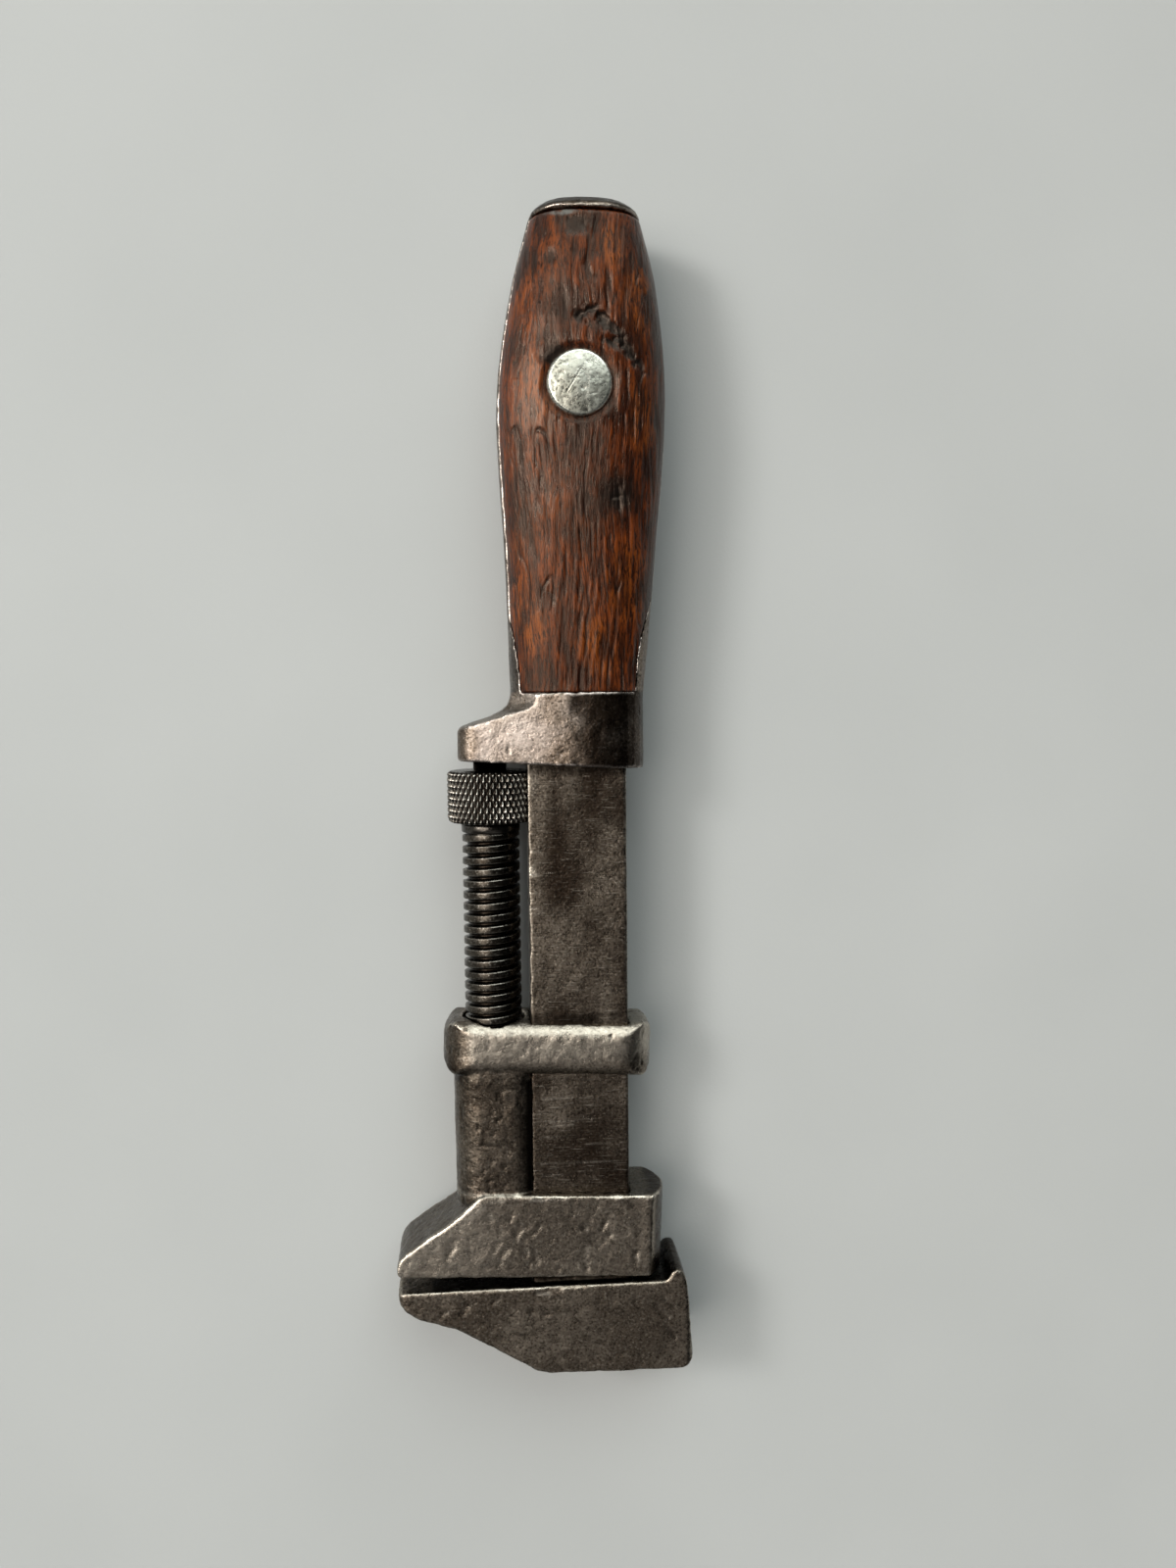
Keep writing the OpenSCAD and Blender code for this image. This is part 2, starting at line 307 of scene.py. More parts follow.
def spread(mesh, values, rounds):
    """Averages values with those of neighbouring vertices."""
    a, b = edges_of(mesh)
    n = len(mesh.vertices)
    count = np.bincount(a, minlength=n) + np.bincount(b, minlength=n)
    for _ in range(rounds):
        total = np.bincount(a, values[b], n) + np.bincount(b, values[a], n)
        values = 0.4 * values + 0.6 * total / np.maximum(count, 1)
    return values


def bend(mesh, rounds):
    """How convex (+) or concave (-) the surface is at each vertex, about -1 to 1."""
    p, n = points_of(mesh), normals_of(mesh)
    a, b = edges_of(mesh)
    d = p[b] - p[a]
    length = np.maximum(np.linalg.norm(d, axis=1), 1e-6)
    size = len(p)
    fall_a, fall_b = -(n[a] * d).sum(1) / length, (n[b] * d).sum(1) / length
    fall = np.bincount(a, fall_a, size) + np.bincount(b, fall_b, size)
    count = np.bincount(a, minlength=size) + np.bincount(b, minlength=size)
    return spread(mesh, fall / np.maximum(count, 1) * 3, rounds)


def forge_relief(p, wave, pits, seed, edge, smooth):
    """Height to add along the normal, in mm, and where the small pits are (0 to 1).

    Waves and dents scale with wave, in mm; edge is 1 on sharp edges, smooth is 1 where ground."""
    rough = wave * (layered(p, 7, seed) + 0.35 * layered(p, 2.1, seed + 10)) * (1 - 0.7 * smooth)
    holes = smoothstep(0.42, 0.85, lattice(p, 0.9, seed + 20)) * (1 - 0.6 * smooth)
    holes *= smoothstep(-0.2, 0.5, lattice(p, 5, seed + 21))
    nick = edge * smoothstep(0.1, 0.8, lattice(p, 1.7, seed + 30))
    dents = 0.5 * wave * smoothstep(0.3, 0.75, lattice(p, (1.3, 2.2, 1.3), seed + 50)) * (1 - smooth)
    fine = 0.45 * wave * lattice(p, 0.8, seed + 60) * (1 - 0.85 * smooth)
    return rough + fine - pits * holes - 0.18 * nick - dents, holes


def press_gouges(p, n, gouges, seed):
    """Presses dents, each (x0, y0, x1, y1), into the front face of p.

    Returns a painted highlight on their right-hand sides."""
    depth, width = 0.11, 0.9
    front = np.flatnonzero(n[:, 2] > 0.7)
    warp = np.stack([lattice(p[front], 1.4, seed), lattice(p[front], 1.4, seed + 1)], 1)
    flat = p[front, :2] + 0.45 * warp
    gouge_glint = np.zeros(len(p))
    for x0, y0, x1, y1 in gouges:
        off = along(flat, (x0, y0), (x1, y1))
        away = np.linalg.norm(off, axis=1)
        beyond = np.linalg.norm(off - (0.5, 0), axis=1)
        p[front, 2] -= depth * smoothstep(width, 0.0, away)
        gouge_glint[front] = np.maximum(gouge_glint[front], 0.35 * smoothstep(0.45, 0.1, beyond))
    return gouge_glint


def finish_surface(obj, wave, pits, seed, tone, rubbed, painted_shade, ground=None, gouges=()):
    """Forged relief by moving vertices, then worn edges, darker hollows and painted shade set from the new
    shape.

    tone, rubbed, painted_shade and ground are functions of the points. They say how oily (0) or bare
    (1) the steel is, painted highlights and painted shade included, how much of the worn edges stays
    and what is added to it, where painted shade darkens gaps and corners, and where the steel was
    ground smooth. wave and pits are depths in mm."""
    mesh = obj.data
    p, n = points_of(mesh), normals_of(mesh)
    smooth = ground(p) if ground else np.zeros(len(p))
    edge = smoothstep(0.12, 0.5, bend(mesh, 2))
    height, holes = forge_relief(p, wave, pits, seed, edge, smooth)
    p += n * height[:, None]
    gouge_glint = press_gouges(p, n, gouges, seed + 40)
    set_points(mesh, p)
    shape = bend(mesh, 2)
    keep, extra = rubbed(p)
    # Worn edges kept dull on faces towards the jaws: painted shade on those lower edges.
    keep = keep * (1 - 0.75 * smoothstep(0.25, 0.7, -n[:, 1]))  # less on faces towards the jaws
    # Worn edges, burrs and scratches, with the painted highlights of the gouges.
    paint(mesh, "wear_and_glint", keep * smoothstep(0.10, 0.40, shape) + extra + gouge_glint)
    # Darker in concave places, plus painted shade in gaps, corners and under other parts.
    paint(mesh, "grime_and_shade", np.maximum(smoothstep(0.05, 0.35, -shape), painted_shade(p)))
    paint(mesh, "pits", holes)
    paint(mesh, "ground", smooth)
    paint(mesh, "tone", tone(p))
    shade_smooth(mesh)


# ---------------------------------------------------------------- node materials

class Nodes:
    """Short names for building a material's node tree."""

    def __init__(self, name):
        self.material = bpy.data.materials.new(name)
        self.material.use_nodes = True
        self.tree = self.material.node_tree
        self.shader = self.tree.nodes["Principled BSDF"]
        where = self.add("ShaderNodeTexCoord")
        scale = self.add("ShaderNodeVectorMath", operation="SCALE")
        scale.inputs["Scale"].default_value = 1000
        self.join(where.outputs["Object"], scale.inputs[0])
        self.mm = scale.outputs[0]

    def add(self, kind, **settings):
        node = self.tree.nodes.new(kind)
        for key, value in settings.items():
            setattr(node, key, value)
        return node

    def join(self, a, b):
        self.tree.links.new(a, b)

    def put(self, socket, value):
        if isinstance(value, bpy.types.NodeSocket):
            self.join(value, socket)
        else:
            socket.default_value = value

    def stretch(self, scale, vector=None):
        """The place in mm, scaled on each axis; a small number makes long features."""
        node = self.add("ShaderNodeMapping")
        node.inputs["Scale"].default_value = scale
        self.join(vector or self.mm, node.inputs["Vector"])
        return node.outputs[0]

    def noise(self, size, detail=4, rough=0.55, vector=None):
        """Noise with features about `size` mm across."""
        node = self.add("ShaderNodeTexNoise")
        node.inputs["Scale"].default_value = 1 / size
        node.inputs["Detail"].default_value = detail
        node.inputs["Roughness"].default_value = rough
        self.join(vector or self.mm, node.inputs["Vector"])
        return node.outputs["Fac"]

    def attribute(self, name):
        return self.add("ShaderNodeAttribute", attribute_name=name).outputs["Fac"]

    def ramp(self, value, low, high):
        """0 at low to 1 at high, smoothly."""
        node = self.add("ShaderNodeMapRange", interpolation_type="SMOOTHSTEP")
        node.inputs["From Min"].default_value = low
        node.inputs["From Max"].default_value = high
        self.put(node.inputs["Value"], value)
        return node.outputs["Result"]

    def span(self, value, low, high):
        """0..1 brought to low..high."""
        node = self.add("ShaderNodeMapRange")
        node.inputs["To Min"].default_value = low
        node.inputs["To Max"].default_value = high
        self.put(node.inputs["Value"], value)
        return node.outputs["Result"]

    def math(self, operation, a, b):
        node = self.add("ShaderNodeMath", operation=operation)
        self.put(node.inputs[0], a)
        self.put(node.inputs[1], b)
        return node.outputs[0]

    def times(self, a, b):
        return self.math("MULTIPLY", a, b)

    def mix(self, amount, a, b):
        node = self.add("ShaderNodeMix", data_type="RGBA")
        self.put(node.inputs["Factor"], amount)
        self.put(node.inputs["A"], a)
        self.put(node.inputs["B"], b)
        return node.outputs["Result"]

    def bump(self, height, depth_mm, strength=1.0):
        node = self.add("ShaderNodeBump")
        node.inputs["Distance"].default_value = depth_mm * MM
        node.inputs["Strength"].default_value = strength
        self.put(node.inputs["Height"], height)
        return node.outputs["Normal"]

    def surface(self, colour, roughness, normal, metallic=0.0, **constants):
        self.put(self.shader.inputs["Base Color"], colour)
        self.put(self.shader.inputs["Roughness"], roughness)
        self.put(self.shader.inputs["Metallic"], metallic)
        self.join(normal, self.shader.inputs["Normal"])
        for key, value in constants.items():
            self.shader.inputs[key.replace("_", " ")].default_value = value
        return self.material


def rgb(r, g, b):
    return (r, g, b, 1.0)


OIL_AND_SHADE = rgb(0.034, 0.024, 0.017)
SPECK = rgb(0.014, 0.009, 0.006)
SOOT_AND_SHADE = rgb(0.010, 0.007, 0.005)

GRAIN_DARK = rgb(0.016, 0.0034, 0.0014)
GRAIN_RED = rgb(0.142, 0.031, 0.0060)
ORANGE = rgb(0.20, 0.052, 0.0080)
STAIN = rgb(0.013, 0.004, 0.0026)
PORE = rgb(0.006, 0.0026, 0.0018)
FURROW = rgb(0.009, 0.003, 0.002)
CHAR_AND_SHADE = rgb(0.005, 0.0035, 0.003)
PUTTY = rgb(0.10, 0.105, 0.10)


def steel(name, dark, mid, bright, rough=(0.24, 0.40), relief_mm=0.13):
    """Old forged steel: brown patina, cast grain, fine pits and bright worn edges.

    The painted tone is 0.5 where neutral, lower on oily brown parts and where painted shade lies, higher on
    bare steel and where painted highlights lie."""
    n = Nodes(name)
    tone, ground = n.attribute("tone"), n.attribute("ground")
    broad = n.ramp(n.noise(14, 4, 0.6), 0.36, 0.64)
    mottle = n.noise(1.8, 7, 0.68)
    grain = n.noise(0.42, 4, 0.62)
    lines = n.noise(0.20, 3, 0.6, n.stretch((0.06, 1, 1)))
    patchy = n.span(n.ramp(n.noise(4.5, 4, 0.65), 0.40, 0.60), 0.3, 1.0)
    wear_and_glint = n.times(n.times(n.attribute("wear_and_glint"), patchy), n.ramp(grain, 0.28, 0.48))
    grime_and_shade = n.math("MAXIMUM", n.attribute("grime_and_shade"), n.times(n.attribute("pits"), 0.7))
    colour = n.mix(broad, dark, mid)
    colour = n.mix(n.times(n.ramp(mottle, 0.52, 0.36), 0.75), colour, dark)
    # Low tone brings oily brown steel and painted shade.
    colour = n.mix(n.ramp(tone, 0.5, 0.0), colour, OIL_AND_SHADE)
    # High tone brings bare steel and painted highlights.
    colour = n.mix(n.times(n.ramp(tone, 0.5, 1.0), 0.8), colour, bright)
    specks = n.times(n.ramp(grain, 0.50, 0.34), n.span(n.ramp(tone, 0.5, 0.8), 0.75, 0.28))
    colour = n.mix(specks, colour, SPECK)
    glints = n.times(n.ramp(grain, 0.55, 0.68), n.span(tone, 0.08, 0.55))
    colour = n.mix(glints, colour, bright)
    scored = n.times(n.ramp(lines, 0.60, 0.72), ground)
    colour = n.mix(n.times(scored, 0.40), colour, bright)
    colour = n.mix(wear_and_glint, colour, bright)
    # Darker hollows and pits, and painted shade.
    colour = n.mix(n.times(grime_and_shade, 0.93), colour, SOOT_AND_SHADE)
    dull = n.math("SUBTRACT", n.ramp(mottle, 0.3, 0.75), n.times(wear_and_glint, 0.5))
    relief = n.math("ADD", mottle, n.times(grain, 0.48))
    relief = n.math("ADD", relief, n.times(n.times(lines, ground), 0.40))
    return n.surface(colour, n.span(dull, *rough), n.bump(relief, relief_mm), metallic=1.0)


def wandering(n, drift_mm):
    """The place in mm, shifted across the handle so that long grain runs in slow curves."""
    wander = n.noise(14, 2, 0.5, n.stretch((1, 0.35, 1)))
    offset = n.add("ShaderNodeCombineXYZ")
    n.join(n.times(wander, drift_mm), offset.inputs[0])
    bent = n.add("ShaderNodeVectorMath", operation="ADD")
    n.join(n.mm, bent.inputs[0])
    n.join(offset.outputs[0], bent.inputs[1])
    return bent.outputs[0]


def old_wood(name):
    """Dark red-brown wood under old varnish: long grain, open pores, blackened dents."""
    n = Nodes(name)
    bent = wandering(n, 5.0)
    streak = n.noise(0.62, 6, 0.66, n.stretch((1, 0.10, 1), bent))
    pores = n.noise(0.24, 3, 0.6, n.stretch((1, 0.13, 1), bent))
    broad = n.noise(13, 3, 0.5, n.stretch((1, 0.6, 1)))
    blotch = n.noise(3.6, 5, 0.65, n.stretch((1, 0.55, 1)))
    colour = n.mix(n.ramp(streak, 0.30, 0.66), GRAIN_DARK, GRAIN_RED)
    orange = n.math("MAXIMUM", n.times(n.ramp(broad, 0.52, 0.70), 0.6), n.attribute("warm"))
    orange = n.times(orange, n.ramp(streak, 0.36, 0.60))
    colour = n.mix(n.times(orange, 0.85), colour, ORANGE)
    colour = n.mix(n.times(n.ramp(blotch, 0.56, 0.36), 0.82), colour, STAIN)
    colour = n.mix(n.times(n.ramp(pores, 0.50, 0.38), 0.85), colour, PORE)
    colour = n.mix(n.times(n.attribute("valley"), 0.8), colour, FURROW)
    # Burnt dents and cracks, and painted shade on the right flank.
    colour = n.mix(n.attribute("dark"), colour, CHAR_AND_SHADE)
    filler = n.times(n.attribute("putty"), n.ramp(n.noise(1.1, 4), 0.3, 0.6))
    colour = n.mix(filler, colour, PUTTY)
    dull = n.math("ADD", n.times(blotch, 0.5), n.times(n.attribute("dark"), 0.5))
    relief = n.math("ADD", streak, n.times(pores, 0.22))
    return n.surface(colour, n.span(dull, 0.10, 0.30), n.bump(relief, 0.20),
                     Specular_IOR_Level=0.32, Specular_Tint=rgb(1.0, 0.76, 0.60))


FORGED = steel("forged_steel", rgb(0.130, 0.106, 0.082), rgb(0.235, 0.200, 0.160), rgb(0.62, 0.57, 0.49))
HANDLE_STEEL = steel("handle_steel", rgb(0.165, 0.128, 0.098), rgb(0.31, 0.265, 0.225),
                     rgb(0.67, 0.60, 0.555))
OILED = steel("oiled_steel", rgb(0.036, 0.031, 0.025), rgb(0.090, 0.079, 0.065), rgb(0.54, 0.51, 0.46),
              rough=(0.20, 0.36), relief_mm=0.05)
BRIGHT = steel("rivet_steel", rgb(0.44, 0.44, 0.37), rgb(0.62, 0.63, 0.55), rgb(0.82, 0.84, 0.76),
               rough=(0.24, 0.38), relief_mm=0.07)
WOOD_LOOK = old_wood("handle_wood")


# ---------------------------------------------------------------- bar and fixed jaw

def dress(obj, material, body, node):
    """Gives a piece its material and its moving body, and hides the CAD node that it stands for."""
    obj.data.materials.clear()
    obj.data.materials.append(material)
    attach(obj, body)
    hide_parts(node)


def flanks(z):
    """1 on the side faces of the jaws, 0 on their front and back."""
    return smoothstep(JAW_FACE - 0.3, JAW_FACE - 1.2, np.abs(z))


# Scratches on the bar's front and gouges on the jaws' fronts: (x, y) to (x, y)
BAR_SCRATCHES = [
    (-5.6, -61.9, 1.8, -61.5), (-7.4, -69.2, 6.2, -69.3), (-5.4, -62.6, -1.6, -62.4),
    (-7.2, -71.4, -3.6, -71.3), (-7.0, -57.7, -1.8, -57.5), (0.5, -66.1, 4.8, -65.9),
    (-7.3, -64.6, -4.6, -64.5),
]
HEAD_GOUGES = [
    (-8.2, -91.7, -6.6, -92.3), (-6.4, -91.1, -4.4, -91.4), (-15.2, -92.3, -15.8, -93.4),
    (-20.5, -93.6, -21.4, -94.4), (12.8, -95.0, 14.6, -97.4), (14.2, -93.6, 15.6, -95.2),
    (14.6, -99.0, 16.2, -101.0), (5.0, -103.6, 6.2, -103.9), (-24.8, -94.6, -25.4, -95.2),
]
JAW_GOUGES = [
    (-11.1, -79.5, -11.9, -82.3), (-7.9, -79.8, -9.1, -81.2), (-22.8, -81.8, -24.3, -84.8),
    (-13.6, -83.8, -14.8, -85.9), (-10.7, -83.3, -10.5, -84.9), (-8.8, -84.3, -8.7, -86.6),
    (-0.1, -79.8, 0.1, -80.6), (3.9, -79.7, 3.2, -81.1), (4.4, -82.1, 2.8, -83.6),
    (0.1, -84.1, -0.1, -87.0), (0.3, -87.2, 0.2, -88.3), (-14.9, -82.5, -15.5, -84.0),
    (-16.9, -77.3, -16.7, -78.3), (-12.5, -77.2, -13.0, -78.4), (9.3, -85.2, 9.0, -86.5),
]


def bar_tone_and_highlight(p):
    """Brown stained bar, brighter at its upper left, partly scratched steel and partly a painted highlight;
    the horn's inner side is darker.
    """
    x, y, z = p.T
    shank = smoothstep(MOUTH_Y + 0.2, MOUTH_Y + 1.2, y)
    # Painted highlight at the upper left, over scratched steel.
    left = smoothstep(-4.0, -8.6, x) * smoothstep(-45, -20, y)
    stain = lattice(p, (8, 13, 6), 81) + 0.7 * lattice(p, (3, 5, 3), 82)
    horn = flanks(z) * smoothstep(13.5, 14.3, x) * (y > MOUTH_Y - 2.2)
    return 0.5 - (0.29 - 0.17 * stain) * shank + 0.35 * left - 0.4 * horn


def scratches(p):
    """Where the bar's front is scratched, 0 to 1."""
    marks = np.zeros(len(p))
    for x0, y0, x1, y1 in BAR_SCRATCHES:
        away = np.linalg.norm(along(p[:, :2], (x0, y0), (x1, y1)), axis=1)
        marks = np.maximum(marks, smoothstep(0.26, 0.08, away))
    return marks * smoothstep(4.5, 5.0, p[:, 2])


def bar_rubbed(p):
    """A burr on the gripping edge, nicks on the bar's left edge below the rosette, and scratches."""
    x, y, z = p.T
    burr = band(x, -8.2, -4.5, 0.6) * band(y, MOUTH_Y - 1.2, MOUTH_Y + 0.2, 0.4)
    burr *= smoothstep(5.8, 6.3, z) * smoothstep(-0.3, 0.3, lattice(p, 1.0, 84))
    chewed = smoothstep(-5.5, -8.5, x) * smoothstep(4.2, 4.7, z) * band(y, -24, -11, 4)
    chewed *= smoothstep(0.35, 0.7, lattice(p, (2.5, 0.45, 2.5), 88))
    head = np.where(x < 0, 0.75, 0.45) * (0.5 + 0.5 * smoothstep(-0.4, 0.3, lattice(p, (2.2, 1, 2), 89)))
    shank = smoothstep(MOUTH_Y + 1.3, MOUTH_Y + 2.3, y)
    keep = head * (1 - shank) + shank * 0.5 * smoothstep(-50, -30, y)
    return keep, 0.9 * burr + 0.8 * chewed + 0.55 * scratches(p)


def bar_painted_shade(p):
    """Painted shade in the mouth between the jaws and where the bar meets bolster and collar."""
    x, y, z = p.T
    gap = band(y, MOUTH_Y - 2.2, MOUTH_Y + 2.6, 0.3) * band(x, -26.5, 15, 0.3)
    gap *= smoothstep(JAW_FACE - 0.4, JAW_FACE - 0.6, np.abs(z))
    # Painted shade under bolster and collar, broken up by noise.
    seat = smoothstep(-1.6, -0.2, y) + band(y, COLLAR_TOP, COLLAR_TOP + 1.1, 0.8)
    return np.maximum(gap, 0.8 * seat * smoothstep(-0.8, 0.2, lattice(p, 1.2, 85)))


def bar_ground(p):
    return smoothstep(MOUTH_Y + 1.8, MOUTH_Y + 3.8, p[:, 1])


def make_bar():
    obj = forged_copy("bar_and_fixed_jaw", "forged_bar_and_head")
    remesh(obj, 0.3, 5)
    finish_surface(obj, 0.07, 0.10, 11, bar_tone_and_highlight, bar_rubbed, bar_painted_shade, bar_ground, HEAD_GOUGES)
    dress(obj, FORGED, "frame", "bar_and_fixed_jaw")


# ---------------------------------------------------------------- sliding jaw

def jaw_tone_and_shading(p):
    """Bare collar and oily boss; darker left end of the collar; painted shade on the collar's lower part and
    the jaw's side faces; a painted highlight towards the jaw's left tip.
    """
    x, y, z = p.T
    collar = smoothstep(COLLAR_FOOT - 0.9, COLLAR_FOOT - 0.1, y)
    boss = smoothstep(JAW_TOP + 0.4, JAW_TOP + 1.1, y) * (1 - collar)
    left_end = smoothstep(-18.5, -22.0, x) * collar
    # Painted shade on the collar's lower part.
    lower = smoothstep(COLLAR_FOOT + 5.2, COLLAR_FOOT + 0.2, y) * collar
    # Painted shade on the jaw's side faces.
    flank = flanks(z) * smoothstep(JAW_TOP, JAW_TOP - 0.7, y)
    flank *= np.maximum(smoothstep(-15, -18, x), smoothstep(10.5, 12.5, x))
    # Painted highlight towards the jaw's left tip.
    tip = 0.10 * smoothstep(-8, -24, x) * (1 - boss) * (1 - collar)
    return 0.60 + tip + 0.18 * collar - 0.32 * boss - 0.54 * left_end - 0.28 * lower - 0.50 * flank


def jaw_rubbed(p):
    """Bright upper edge of the jaw, chewed where it is straight."""
    x, y, z = p.T
    front = smoothstep(5.4, 6.1, z)
    top_edge = band(y, JAW_TOP - 0.8, JAW_TOP + 0.3, 0.35) * front
    slant = np.abs((x + 18.0) * 0.64 - (y + 75.4) * 0.77)
    slant = smoothstep(1.5, 0.7, slant) * (x < -17) * front
    chewed = smoothstep(-0.5, 0.4, lattice(p, (1.4, 0.9, 1.4), 91))
    return 0.9, 0.8 * np.maximum(top_edge * chewed, 0.5 * slant)


def jaw_painted_shade(p):
    """Painted shade in the groove between boss and bar, under the collar and above the jaw."""
    x, y = p[:, 0], p[:, 1]
    groove = band(x, -9.4, -7.0, 0.8) * band(y, JAW_TOP + 0.4, COLLAR_FOOT - 0.5, 0.2)
    under = band(y, COLLAR_FOOT - 0.9, COLLAR_FOOT + 0.3, 0.5) * smoothstep(-8, -9, x)
    under = under + band(y, JAW_TOP + 0.1, JAW_TOP + 0.9, 0.4)
    return np.maximum(groove, 0.6 * under * smoothstep(-0.6, 0.4, lattice(p, 1.2, 86)))


def make_sliding_jaw():
    """The CAD jaw with a plain bore in place of its female thread, which can't be seen."""
    obj = forged_copy("sliding_jaw", "forged_sliding_jaw")
    steps = 48
    bore = lathe("bore", [(y, np.full(steps, SCREW_BORE_R)) for y in SCREW_BORE], steps)
    cut(obj, bore)
    remesh(obj, 0.27, 5)
    finish_surface(obj, 0.10, 0.14, 23, jaw_tone_and_shading, jaw_rubbed, jaw_painted_shade, gouges=JAW_GOUGES)
    dress(obj, FORGED, "jaw", "sliding_jaw")


# ---------------------------------------------------------------- handle frame

def handle_tone_and_shade(p):
    """Bright bolster with painted shade towards its right; oily butt, left end and left side."""
    x, y, z = p.T
    butt = smoothstep(RIM_Y + 0.2, RIM_Y + 0.9, y)
    bolster = smoothstep(BOLSTER_TOP + 0.4, BOLSTER_TOP - 0.4, y)
    # Painted shade on the bolster's right, where it turns from the light.
    right = smoothstep(-6.0, 3.0, x + 1.6 * lattice(p, 2.6, 90)) * bolster
    upper = smoothstep(7.5, 10.5, y) * bolster
    end = smoothstep(-15.5, -19.0, x)
    flank = smoothstep(7.2, 5.8, np.abs(z)) * smoothstep(-6, -7, x) * smoothstep(7, 9, y) * (1 - butt)
    stain = 0.16 * lattice(p, 3.2, 83)
    return (0.5 + stain + 0.24 * bolster - 0.66 * right - 0.16 * upper
            - 0.56 * butt - 0.30 * end - 0.25 * flank)


def handle_rubbed(p):
    return 1 - 0.75 * smoothstep(RIM_Y - 0.3, RIM_Y + 0.1, p[:, 1]), 0


def handle_painted_shade(p):
    # Painted shade at the bolster's foot, where it meets the bar.
    return 0.7 * smoothstep(0.9, 0.3, p[:, 1]) * smoothstep(-0.4, 0.5, lattice(p, 1.5, 87))


def make_handle_frame():
    obj = forged_copy("handle_frame", "forged_handle_frame")
    remesh(obj, 0.27, 4)
    finish_surface(obj, 0.05, 0.10, 37, handle_tone_and_shade, handle_rubbed, handle_painted_shade)
    dress(obj, HANDLE_STEEL, "frame", "handle_frame")


# ---------------------------------------------------------------- adjusting screw

def thread_radius(y, angle):
    """Left-hand thread: broad rounded crests and narrow roots."""
    turn = (y / PITCH - angle / (2 * math.pi)) % 1.0
    off_root = np.minimum(turn, 1 - turn)
    rise = smoothstep(0.07, 0.25, off_root)
    return ROOT_R + (THREAD_R - ROOT_R) * rise - 0.35 * (0.5 - off_root) ** 2 * rise


def threaded_shaft():
    """The thread from its tapered end up to the plain neck."""
    steps = 120
    angle = -np.arange(steps) * 2 * math.pi / steps
    rings = [(SCREW_END, np.full(steps, 3.4))]
    for y in np.arange(SCREW_END + 0.1, NECK[0], 0.1):
        taper = 3.5 + (y - SCREW_END) * 1.2
        rings.append((y, np.minimum(thread_radius(y, angle), taper)))
    neck = THREAD_R + 0.1
    for y, inset in ((NECK[0], 0.5), (NECK[0] + 0.12, 0.12), (NECK[0] + 0.3, 0), (NECK[1] + 0.3, 0)):
        rings.append((y, np.full(steps, neck - inset)))
    return lathe("turned_screw_shaft", rings, steps)


def knurl_radius(y, angle):
    """Diamond knurl: two crossing sets of slanted grooves, on a rounded rim."""
    edge = min(y - ROSETTE[0], ROSETTE[1] - y)
    u = angle * KNURL_TEETH / (2 * math.pi)
    v = (y - ROSETTE[0]) / KNURL_LENGTH
    one = np.abs(((u + v) % 1.0) * 2 - 1)
    two = np.abs(((u - v) % 1.0) * 2 - 1)
    tooth = np.minimum(np.minimum(one, two) * 1.25, 1.0)
    rim = ROSETTE_R - 0.55 * (1 - min(edge / 0.6, 1.0)) ** 2
    return rim - KNURL_DEPTH * (1 - tooth) * min(1.0, 0.35 + edge / 0.5)


def knurled_wheel():
    """The rosette and the journal above it."""
    steps = KNURL_TEETH * 10
    angle = np.arange(steps) * 2 * math.pi / steps
    rings = [(y, knurl_radius(y, angle)) for y in np.linspace(*ROSETTE, 92)]
    foot, top = rings[0][1] - 0.5, rings[-1][1] - 0.5
    journal = np.full(steps, JOURNAL_R)
    rings = [(ROSETTE[0], np.full(steps, 2.0)), (ROSETTE[0], foot)] + rings
    rings += [(ROSETTE[1], top), (ROSETTE[1], journal), (JOURNAL_TOP, journal)]
    return lathe("turned_screw", rings, steps)


def make_screw():
    shaft = threaded_shaft()
    screw = knurled_wheel()
    mesh = screw.data
    edit(mesh, lambda bm: bm.from_mesh(shaft.data))
    bpy.data.objects.remove(shaft)
    shape = bend(mesh, 1)
    x, y, z = points_of(mesh).T
    knurl = y > NECK[0]
    radius = np.hypot(x - SCREW_X, z)
    # Painted shade in the thread's roots, on the neck under the rosette and in the knurl's grooves.
    root = smoothstep(THREAD_R - 0.18, THREAD_R - 0.60, radius) * (y < NECK[0])
    root = np.maximum(root, 0.7 * band(y, *NECK, 0.1))
    valley = smoothstep(ROSETTE_R - 0.22, ROSETTE_R - 0.45, radius) * knurl
    paint(mesh, "wear_and_glint", smoothstep(0.10, 0.55, shape) * np.where(knurl, 0.9, 0.35))
    paint(mesh, "grime_and_shade", np.maximum(smoothstep(0.08, 0.45, -shape), np.maximum(root, 0.9 * valley)))
    paint(mesh, "tone", np.full(len(shape), 0.5))
    shade_smooth(mesh)
    dress(screw, OILED, "screw", "adjusting_screw")


# ---------------------------------------------------------------- wooden scales

def oval(p, x, y, rx, ry):
    """Distance from (x, y), 1 on the oval with half sizes rx and ry."""
    return np.hypot((p[:, 0] - x) / rx, (p[:, 1] - y) / ry)


def spot(x, y, rx, ry, depth, dark, putty=0.0):
    """Round or long dent in the wood. at(p) gives its depth, how burnt and how filled it is."""
    def at(p):
        wobble = 1 + 0.35 * lattice(p, 1.6, 71)
        d = oval(p, x, y, rx, ry) * wobble
        hollow, burnt, filled = smoothstep(1.0, 0.25, d), smoothstep(1.1, 0.3, d), smoothstep(1.0, 0.5, d)
        return depth * hollow, dark * burnt, putty * filled
    return at


def split(points, width, depth, dark=1.0):
    """Crack or gouge along a bent line. at(p) is as in spot."""
    def at(p):
        away = np.full(len(p), np.inf)
        for start, end in zip(points[:-1], points[1:]):
            away = np.minimum(away, np.linalg.norm(along(p[:, :2], start, end), axis=1))
        away = away * (1 + 0.5 * lattice(p, 0.9, 73))
        inside = smoothstep(width, 0.0, away) * (0.35 + 0.65 * smoothstep(-0.5, 0.15, lattice(p, 0.8, 75)))
        return depth * inside, dark * inside, 0
    return at


